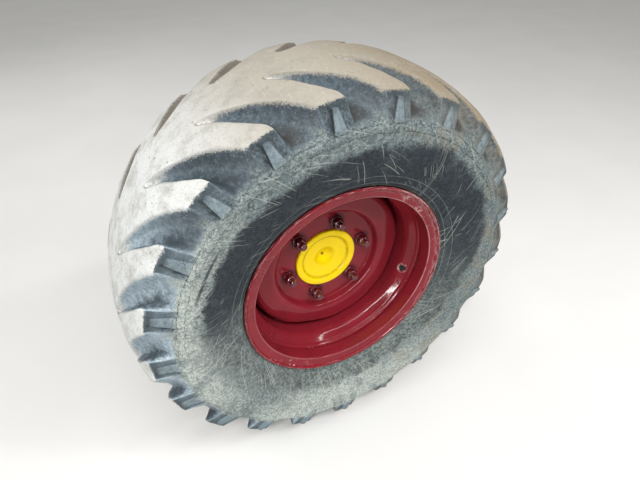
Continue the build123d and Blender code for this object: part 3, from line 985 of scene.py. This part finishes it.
# Half sections in mm from the lip inward: (radius, depth, rounding)
RIM_OUTSIDE = [
    (248.5, 0.2, 1.6), (253, 0.2, 1.8), (253, 7, 3), (250, 12, 3), (240, 15.5, 6), (231, 17, 3),
    (230, 55, 8), (212, 78, 10)]
RIM_INSIDE = [
    (207, 77, 9), (223.6, 58, 4), (224.6, 54, 2), (228.4, 49.5, 2), (228.4, 45.5, 2),
    (224.6, 40, 2.5), (225.6, 8.8, 4), (246, 5.5, 4)]


def rim_outline():
    """Section of the whole rim, its far half mirrored from the near one."""
    width = RIM_WIDTH / MM
    far_outside, far_inside = (
        [(r, width - d, b) for r, d, b in reversed(half)] for half in (RIM_OUTSIDE, RIM_INSIDE))
    return RIM_OUTSIDE + far_outside + far_inside + RIM_INSIDE


class WHEEL_OT_rim(bpy.types.Operator):
    """Drop-centre rim with rolled lips and the valve hole"""
    bl_idname = "wheel.rim"
    bl_label = "Rim"

    def execute(self, context):
        rim = lathe("painted_rim", rounded(rim_outline()), 180)
        middle, length = VALVE_CUTTER
        only(None)
        bpy.ops.mesh.primitive_cylinder_add(
            vertices=32, radius=VALVE_HOLE, depth=length,
            location=on_axle(middle, VALVE_DEPTH, VALVE_ANGLE),
            rotation=(0, radians(90 - VALVE_ANGLE), 0))
        cut(rim, settle(bpy.context.object))
        soften(rim)
        dress(rim, paint_of("maroon_enamel"))
        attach(rim, "wheel")
        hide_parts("rim")
        return {"FINISHED"}


# Disc

# Section in mm: (radius, depth, rounding); the plate outside PLATE_FROM has the flats
DISC_OUTLINE = [
    (80.5, 122, 1.5), (134.2, 122, 4.5), (138, 104, 8), (148, 99.2, 8), (158, 98.4, 8),
    (184, 98.9, 8), (194, 102, 6), (200, 113, 8), (204, 128, 5), (206.6, 139, 3),
    (206.6, 164.8, 1.5), (200.6, 164.8, 1.5), (200.5, 149, 4), (197, 137, 6), (192, 119, 6),
    (186, 110, 6), (160, 108.5, 8), (150, 110, 6), (146, 118, 5), (142, 130, 4), (136, 132, 3),
    (80.5, 132, 1)]
# Middle of the plate where the flats are pressed, in mm: (radius, depth)
PLATE_MIDDLE = [(150, 104), (186, 104.4), (195, 113), (200, 128), (203.5, 142), (203.7, 170)]
PLATE_FROM = 150
PLATE_THICK = 6.0
FLATS = 4
FLAT_CHORD = 184.0
FLAT_PHASE = -16.0
PRESS_RADIUS = 4.0


def press_flats(disc):
    """Presses the flats that leave vents against the rim; both skins move together."""
    share = 360 / FLATS
    for v in disc.data.vertices:
        radius, angle = hypot(v.co.x, v.co.z) / MM, degrees(atan2(v.co.z, v.co.x))
        middle = FLAT_PHASE + share * round((angle - FLAT_PHASE) / share)
        out, along = radius * cos(radians(angle - middle)), radius * sin(radians(angle - middle))
        rear = radius > PLATE_FROM and (v.co.y - LIP_Y) / MM > between(PLATE_MIDDLE, radius)
        limit = FLAT_CHORD - (PLATE_THICK if rear else 0.0)
        over = (out - limit + PRESS_RADIUS) / (2 * PRESS_RADIUS)
        if over <= 0:
            continue
        out = limit if over > 1 else out - PRESS_RADIUS * over ** 2
        a = radians(middle)
        v.co.x = (out * cos(a) - along * sin(a)) * MM
        v.co.z = (out * sin(a) + along * cos(a)) * MM


class WHEEL_OT_disc(bpy.types.Operator):
    """Pressed dish with flats that leave vents against the rim"""
    bl_idname = "wheel.disc"
    bl_label = "Disc"

    def execute(self, context):
        disc = lathe("painted_disc", rounded(DISC_OUTLINE), 240)
        press_flats(disc)
        soften(disc)
        dress(disc, paint_of("maroon_enamel"))
        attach(disc, "wheel")
        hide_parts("disc")
        return {"FINISHED"}


# Studs and nuts

THREAD_TURNS = 8
THREAD_STEP = 1.8         # mm, coarse enough to show
THREAD_DEEP = 0.8
STUD_ROOT = 150           # mm inward from the rim's lip
WASHER_THICK = 4
NUT_TURN = 17             # degrees from one nut to the next, as they came tight


def make_stud():
    """Wheel stud with paint-clogged thread turns and a dimpled end, on the axle line."""
    r, tip = bpy.context.scene.wheel_sizes.stud_radius / MM, STUD_TIP / MM
    outline = [
        (0, tip + 2.2, 0), (2.2, tip + 1.4, 1), (4.2, tip + 0.2, 1), (r - 2.4, tip + 0.3, 1),
        (r - 0.9, tip + 1.6, 1)]
    for k in range(THREAD_TURNS):
        start = tip + THREAD_STEP * k
        outline += [(r, start + 3.0, 0.3), (r - THREAD_DEEP, start + 3.9, 0.3)]
    outline += [(r, tip + 19, 0), (r, STUD_ROOT, 0), (0, STUD_ROOT, 0)]
    return lathe("stud", rounded(outline, steps=2), 32)


def make_nut():
    """Hexagon nut with a chamfered crown on its washer, on the axle line."""
    size = bpy.context.scene.wheel_sizes
    seat = DISC_FACE / MM
    foot = seat - WASHER_THICK
    flat, top = size.nut_flats / MM / 2, foot - size.nut_height / MM
    only(None)
    bpy.ops.mesh.primitive_cylinder_add(
        vertices=6, radius=size.nut_flats / 2 / cos(radians(30)), depth=size.nut_height,
        location=(0, LIP_Y + (foot + top) / 2 * MM, 0), rotation=(radians(90), 0, 0))
    nut = settle(named("nut"))
    crown = [
        (0, top, 0), (flat - 1.6, top, 0.8), (flat + 1.0, top + 2.4, 1.5), (flat + 1.2, foot, 0),
        (0, foot, 0)]
    cut(nut, lathe("nut_crown", rounded(crown), 48), "INTERSECT")
    edit_all(nut)
    bpy.ops.mesh.dissolve_limited(angle_limit=radians(2))
    bpy.ops.object.mode_set(mode="OBJECT")
    modifier = nut.modifiers.new("worn_edges", "BEVEL")
    modifier.width = 0.7 * MM
    modifier.segments = 2
    bpy.ops.object.modifier_apply(modifier=modifier.name)
    w = size.washer_radius / MM
    ring = [(8, foot, 0), (w - 2.5, foot, 1.5), (w, seat - 2.4, 1.2), (w, seat, 0), (8, seat, 0)]
    return join([nut, lathe("washer", rounded(ring), 40)], "nut")


class WHEEL_OT_nuts(bpy.types.Operator):
    """Painted wheel nuts on their studs"""
    bl_idname = "wheel.nuts"
    bl_label = "Wheel nuts"

    def execute(self, context):
        for name, make in (("painted_studs", make_stud), ("painted_nuts", make_nut)):
            one = make()
            twins = []
            for k in range(STUDS):
                twin = twin_of(one)
                twin.rotation_euler = (0, radians(NUT_TURN * k), 0)
                place = on_axle(STUD_CIRCLE, 0, STUD_PHASE + STUD_STEP * k)
                twin.location = place - Vector((0, LIP_Y, 0))
                twins.append(settle(twin))
            bpy.data.objects.remove(one)
            piece = join(twins, name)
            soften(piece)
            dress(piece, paint_of("grimy_shaded_maroon_enamel"))
            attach(piece, "wheel")
            if make is make_nut:
                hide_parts("wheel_nuts")
        return {"FINISHED"}


# Hub cap

class WHEEL_OT_cap(bpy.types.Operator):
    """Dished hub cap pressed from sheet"""
    bl_idname = "wheel.cap"
    bl_label = "Hub cap"

    def execute(self, context):
        r, f = CAP_RADIUS / MM, CAP_FACE / MM
        outline = [
            (2.4, f + 22.6, 0.4), (8, f + 21.4, 5), (15, f + 17, 6), (24, f + 10, 8),
            (31, f + 7.6, 6), (60.5, f + 6.4, 3), (64.5, f + 1.3, 2.5), (68, f, 2.5),
            (r - 1.6, f, 1.6), (r, f + 1.4, 1), (r, f + 3.2, 0.4), (66, f + 3.2, 0),
            (66, f + 7, 1), (33, f + 9.7, 3), (26, f + 12, 6), (17, f + 19, 6),
            (9, f + 23.6, 4), (2.4, f + 24.4, 0)]
        cap = lathe("painted_hub_cap", rounded(outline), 128)
        soften(cap)
        dress(cap, paint_of("cap_enamel"))
        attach(cap, "wheel")
        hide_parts("hub_cap")
        return {"FINISHED"}


# Axle end

class WHEEL_OT_axle(bpy.types.Operator):
    """Paint, steel and rubber finishes of the hub, axle end, valve and studs"""
    bl_idname = "wheel.axle"
    bl_label = "Axle end"

    def execute(self, context):
        for name in ("hub", "axle_housing", "housing_bolts"):
            dress(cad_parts[name], paint_of("dusty_yellow_enamel"))
        dress(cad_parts["spindle"], turned_steel())
        dress(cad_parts["valve"], plain_rubber())
        dress(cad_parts["wheel_studs"], paint_of("grimy_shaded_maroon_enamel"))
        return {"FINISHED"}


# Stage

CAMERA_PLACE = Vector((-1.7115, -2.7195, 2.9523))    # from the lip plane's centre, in lip radii
CAMERA_TURN = (52.93, 0.0, -27.29)                   # pitch, roll, yaw in degrees
LENS = 27.06
FLOOR_SIZE = 24
# Soft lights: name, place and size in metres, power, and whether it adds sheen alone
LIGHTS = (
    ("sky_panel", (-1.0, -1.4, 3.4), (2.6, 2.6), 50, False),
    ("bright_sky", (-1.5, -2.4, 2.9), (0.3, 0.3), 28, False),
    ("sky_strip", (0.3, -2.4, 3.0), (4.0, 0.12), 60, False),
    ("right_strip", (2.1, -2.5, 2.1), (0.12, 1.6), 28, False),
    ("left_strip", (-2.1, -2.5, 1.3), (0.16, 3.0), 120, True),
    ("back_strip", (-1.6, 2.6, 1.7), (2.4, 0.2), 16, False),
)
# The world's strength: plain white to the camera, weaker as light and in reflections
WORLD_LIGHT, WORLD_SEEN, LESS_IN_GLOSS = 0.42, 1.0, 0.2


def floor_paint():
    """Matt, evenly pale studio floor."""
    material, tree, shader, where = new_material("matt_studio_floor")
    tone = ramp(tree, specks(tree, where, 400, 2.0), 0.3, 0.7)
    colour = tuple(bpy.context.scene.wheel_colours.floor)
    shaded = (*[c * 0.97 for c in colour], 1)
    feed(tree, shader, {"Base Color": layer(tree, tone, (*colour, 1), shaded), "Roughness": 0.9})
    return material


def softbox(name, place, size, power, sheen_only):
    """Rectangular light aimed at the wheel's middle."""
    only(None)
    bpy.ops.object.light_add(type="AREA", location=place)
    lamp = bpy.context.object
    lamp.name = name
    lamp.data.shape = "RECTANGLE"
    lamp.data.size, lamp.data.size_y = size
    lamp.data.energy = power
    lamp.visible_diffuse = not sheen_only
    aim = Vector((0, WHEEL_Y, 0)) - Vector(place)
    lamp.rotation_euler = aim.to_track_quat("-Z", "Y").to_euler()


class WHEEL_OT_stage(bpy.types.Operator):
    """Pale floor, soft lights and the camera"""
    bl_idname = "wheel.stage"
    bl_label = "Stage"

    def execute(self, context):
        only(None)
        bpy.ops.mesh.primitive_plane_add(size=FLOOR_SIZE, location=(0, 0, -CROWN))
        floor = settle(named("studio_floor"))
        dress(floor, floor_paint())
        for light in LIGHTS:
            softbox(*light)
        world = bpy.data.worlds.new("studio")
        context.scene.world = world
        world.use_nodes = True
        tree = world.node_tree
        tree.nodes.clear()
        path = add(tree, "ShaderNodeLightPath").outputs
        strength = ramp(tree, path["Is Camera Ray"], 0, 1, WORLD_LIGHT, WORLD_SEEN)
        strength = less(tree, strength, times(tree, path["Is Glossy Ray"], LESS_IN_GLOSS))
        sky = add(tree, "ShaderNodeBackground", {"Color": linear("#F4F4F2"), "Strength": strength})
        add(tree, "ShaderNodeOutputWorld", {"Surface": sky.outputs[0]})
        place = CAMERA_PLACE * RIM_LIP + Vector((0, LIP_Y, 0))
        bpy.ops.object.camera_add(location=place, rotation=[radians(a) for a in CAMERA_TURN])
        camera = bpy.context.object
        camera.name = "photo_camera"
        camera.data.sensor_width = 36
        camera.data.lens = LENS
        camera.data.clip_start = 0.05
        context.scene.camera = camera
        context.scene.view_settings.view_transform = "Standard"
        return {"FINISHED"}


class WHEEL_PT_panel(bpy.types.Panel):
    """Buttons for each piece of the wheel"""
    bl_idname = "WHEEL_PT_panel"
    bl_label = "Loader Wheel"
    bl_space_type = "VIEW_3D"
    bl_region_type = "UI"
    bl_category = "Wheel"

    def draw(self, context):
        layout = self.layout
        for group in (context.scene.wheel_sizes, context.scene.wheel_colours):
            for key in group.__annotations__:
                layout.prop(group, key)
        for operator in PIECES:
            layout.operator(operator.bl_idname)


PIECES = (
    WHEEL_OT_tyre, WHEEL_OT_rim, WHEEL_OT_disc, WHEEL_OT_nuts, WHEEL_OT_cap, WHEEL_OT_axle,
    WHEEL_OT_stage)
CLASSES = (WheelSizes, WheelColours, *PIECES, WHEEL_PT_panel)


def register():
    for cls in CLASSES:
        bpy.utils.register_class(cls)
    bpy.types.Scene.wheel_sizes = bpy.props.PointerProperty(type=WheelSizes)
    bpy.types.Scene.wheel_colours = bpy.props.PointerProperty(type=WheelColours)


def unregister():
    del bpy.types.Scene.wheel_sizes
    del bpy.types.Scene.wheel_colours
    for cls in reversed(CLASSES):
        bpy.utils.unregister_class(cls)


def main():
    register()
    bpy.ops.wheel.tyre()
    bpy.ops.wheel.rim()
    bpy.ops.wheel.disc()
    bpy.ops.wheel.nuts()
    bpy.ops.wheel.cap()
    bpy.ops.wheel.axle()
    bpy.ops.wheel.stage()


if __name__ == "__main__":
    main()
